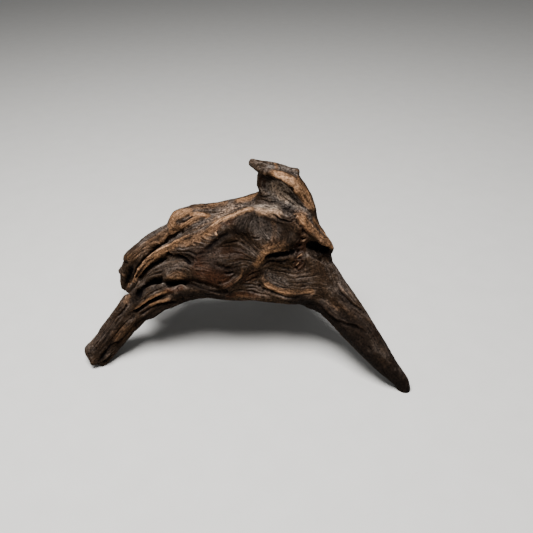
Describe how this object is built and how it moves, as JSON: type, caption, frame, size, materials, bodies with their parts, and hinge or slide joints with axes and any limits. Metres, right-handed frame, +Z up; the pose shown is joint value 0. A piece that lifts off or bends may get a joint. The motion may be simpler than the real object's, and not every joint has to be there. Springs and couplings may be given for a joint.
{
  "type": "driftwood",
  "caption": "Weathered forked driftwood root that stands like a low arch on splayed legs, with an upswept pointed crown and a hollow-ended side branch, for a tank, terrarium or shelf.",
  "frame": {"origin": "on the ground, under the middle of the piece's bounding box", "axes": "+X to the right along the arch, +Y to the back, +Z up; the cracked, furrowed face looks along -Y"},
  "size_m": [0.2874, 0.1584, 0.178],
  "materials": {
    "driftwood": "bare weathered wood, grey-brown with orange-brown worn ridges, dull"
  },
  "bodies": {
    "root": {"trunk": "driftwood", "left_leg": "driftwood", "right_leg": "driftwood", "left_branch": "driftwood", "crown": "driftwood", "back_root": "driftwood"}
  },
  "joints": []
}
